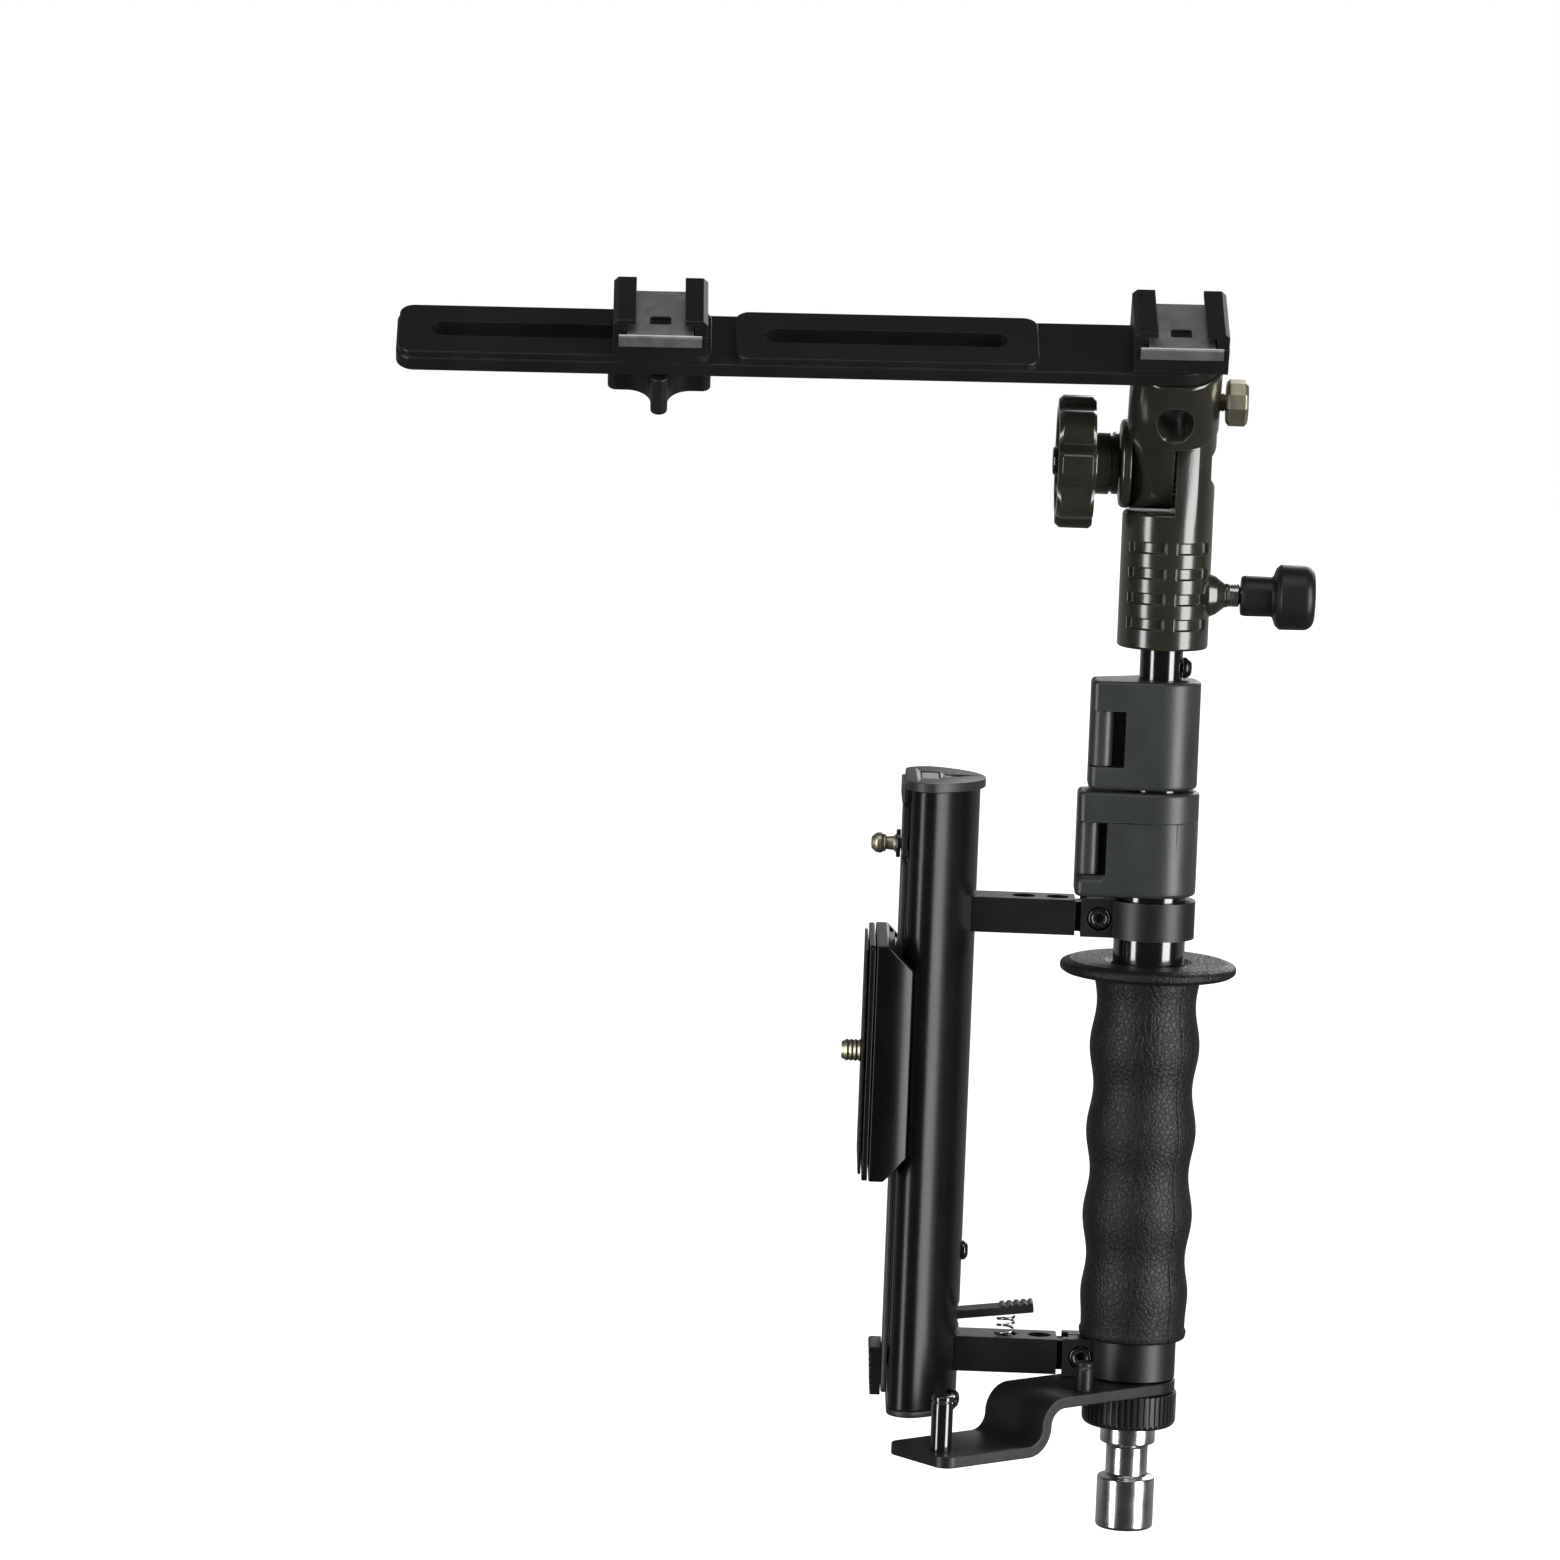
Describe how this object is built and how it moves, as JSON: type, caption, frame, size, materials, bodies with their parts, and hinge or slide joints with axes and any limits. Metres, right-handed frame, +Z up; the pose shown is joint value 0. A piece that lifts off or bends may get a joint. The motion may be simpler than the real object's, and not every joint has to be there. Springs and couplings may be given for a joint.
{
  "type": "camera flash bracket",
  "caption": "Pistol-grip camera flash bracket with a sliding camera platform, a telescoping locked pole, a tilting swivel head and a slotted flash arm with accessory shoes.",
  "frame": {"origin": "centre of the lower face of the chrome stud under the grip", "axes": "+Z up along the pole, +X to the right and away from the camera column, +Y away from the viewer"},
  "size_m": [0.2541, 0.0814, 0.3464],
  "materials": {
    "satin_black": "satin black anodised",
    "steel_black": "satin black painted steel",
    "gloss_black": "gloss black",
    "head_paint": "gloss olive black enamel",
    "lock_plastic": "satin dark grey",
    "knob_plastic": "satin black",
    "soft_rubber": "leather grained",
    "chrome": "polished",
    "nickel": "nickel plated",
    "spring_steel": "brushed",
    "pale_plastic": "satin pale grey"
  },
  "bodies": {
    "handle": {"stand_stud": "chrome", "handle_plug": "satin_black", "handle_tube": "satin_black", "hand_grip": "soft_rubber", "lower_clamp": "satin_black", "lower_clamp_screw": "gloss_black", "lower_arm": "satin_black", "upper_clamp": "satin_black", "upper_clamp_screw": "gloss_black", "upper_arm": "satin_black", "lower_lock_body": "lock_plastic", "lower_lock_pin": "nickel", "column_tube": "satin_black", "column_top_cap": "knob_plastic", "cap_window": "pale_plastic", "column_bottom_cap": "knob_plastic", "rail_plate": "satin_black", "rail_end_block": "knob_plastic", "ball_stud": "nickel", "ball_stud_washer": "gloss_black", "upper_side_screw": "gloss_black", "lower_side_screw": "gloss_black", "lever_carrier": "knob_plastic", "lever_pin": "nickel", "release_spring": "spring_steel"},
    "nut": {"foot_nut": "knob_plastic"},
    "foot": {"foot_bar": "steel_black", "foot_bar_pin": "gloss_black", "foot_bar_stub": "steel_black"},
    "lower_lever": {"lower_lock_lever": "lock_plastic"},
    "mid_pole": {"mid_tube": "satin_black", "mid_tube_bush": "knob_plastic", "upper_lock_body": "lock_plastic", "upper_lock_pin": "nickel"},
    "upper_lever": {"upper_lock_lever": "lock_plastic"},
    "inner_pole": {"inner_tube": "gloss_black", "inner_tube_bush": "knob_plastic", "spigot_screw": "gloss_black"},
    "socket": {"socket_body": "head_paint", "tilt_bolt": "nickel"},
    "socket_clamp": {"socket_screw": "nickel", "socket_knob": "knob_plastic"},
    "head": {"tilt_head": "head_paint"},
    "head_knob": {"tilt_knob": "knob_plastic"},
    "head_screw": {"umbrella_screw": "nickel"},
    "top_arm": {"flash_arm": "satin_black", "arm_screw": "nickel", "head_shoe": "satin_black", "head_shoe_spring": "spring_steel"},
    "shoe": {"slide_shoe": "satin_black", "slide_shoe_spring": "spring_steel", "slide_shoe_screw": "nickel"},
    "shoe_knob": {"slide_shoe_knob": "knob_plastic"},
    "platform": {"carriage": "satin_black", "platform_plate": "satin_black", "platform_pad": "soft_rubber"},
    "camera_bolt": {"camera_screw": "nickel"},
    "release": {"release_lever": "steel_black"},
    "latch": {"thumb_latch": "knob_plastic"}
  },
  "joints": [
    {"name": "foot_nut_turn", "type": "hinge", "parent": "handle", "child": "nut", "pos_m": [0, 0, 0.034], "axis": [0, 0, 1], "continuous": true},
    {"name": "foot_bar_swing", "type": "hinge", "parent": "handle", "child": "foot", "pos_m": [0, 0, 0.041], "axis": [0, 0, 1], "range_deg": [-20, 180]},
    {"name": "lower_lock_flip", "type": "hinge", "parent": "handle", "child": "lower_lever", "pos_m": [-0.0183, -0.00765, 0.193], "axis": [0, 0, 1], "range_deg": [0, 100]},
    {"name": "mid_tube_slide", "type": "slide", "parent": "handle", "child": "mid_pole", "axis": [0, 0, 1], "range_m": [0, 0.1]},
    {"name": "upper_lock_flip", "type": "hinge", "parent": "mid_pole", "child": "upper_lever", "pos_m": [-0.0158, -0.0068, 0.2232], "axis": [0, 0, 1], "range_deg": [0, 100]},
    {"name": "inner_tube_slide", "type": "slide", "parent": "mid_pole", "child": "inner_pole", "axis": [0, 0, 1], "range_m": [0, 0.11]},
    {"name": "head_swivel", "type": "hinge", "parent": "inner_pole", "child": "socket", "pos_m": [0, 0, 0.26], "axis": [0, 0, 1], "continuous": true},
    {"name": "socket_knob_turn", "type": "hinge", "parent": "socket", "child": "socket_clamp", "pos_m": [0.03, 0, 0.26205], "axis": [1, 0, 0], "continuous": true},
    {"name": "head_tilt", "type": "hinge", "parent": "socket", "child": "head", "pos_m": [0, 0, 0.2973], "axis": [1, 0, 0], "range_deg": [-118, 58]},
    {"name": "tilt_knob_turn", "type": "hinge", "parent": "socket", "child": "head_knob", "pos_m": [-0.02, 0, 0.2973], "axis": [1, 0, 0], "continuous": true},
    {"name": "umbrella_screw_turn", "type": "hinge", "parent": "head", "child": "head_screw", "pos_m": [0.015, -0.0107, 0.31583], "axis": [1, 0, 0], "continuous": true},
    {"name": "arm_swing", "type": "hinge", "parent": "head", "child": "top_arm", "pos_m": [0, -0.017, 0.32675], "axis": [0, -0.5, 0.866], "range_deg": [-60, 60]},
    {"name": "flash_shoe_slide", "type": "slide", "parent": "top_arm", "child": "shoe", "axis": [0.9996, 0.0242, 0.014], "range_m": [-0.0583, 0.0043]},
    {"name": "shoe_knob_turn", "type": "hinge", "parent": "shoe", "child": "shoe_knob", "pos_m": [-0.14065, -0.0174, 0.31972], "axis": [0, -0.5, 0.866], "continuous": true},
    {"name": "carriage_slide", "type": "slide", "parent": "handle", "child": "platform", "axis": [0, 0, 1], "range_m": [-0.046, 0.018]},
    {"name": "camera_screw_turn", "type": "hinge", "parent": "platform", "child": "camera_bolt", "pos_m": [-0.0754, 0, 0.13165], "axis": [1, 0, 0], "continuous": true},
    {"name": "release_lever_press", "type": "hinge", "parent": "handle", "child": "release", "pos_m": [-0.0555, 0, 0.058], "axis": [0, 1, 0], "range_deg": [0, 7], "stiffness_Nm_per_rad": 0.15, "springref_deg": -5.73, "deforming": ["release_spring"]},
    {"name": "thumb_latch_slide", "type": "slide", "parent": "handle", "child": "latch", "axis": [0, 0, 1], "range_m": [-0.0035, 0], "stiffness_N_per_m": 300, "springref_m": 0.003}
  ]
}
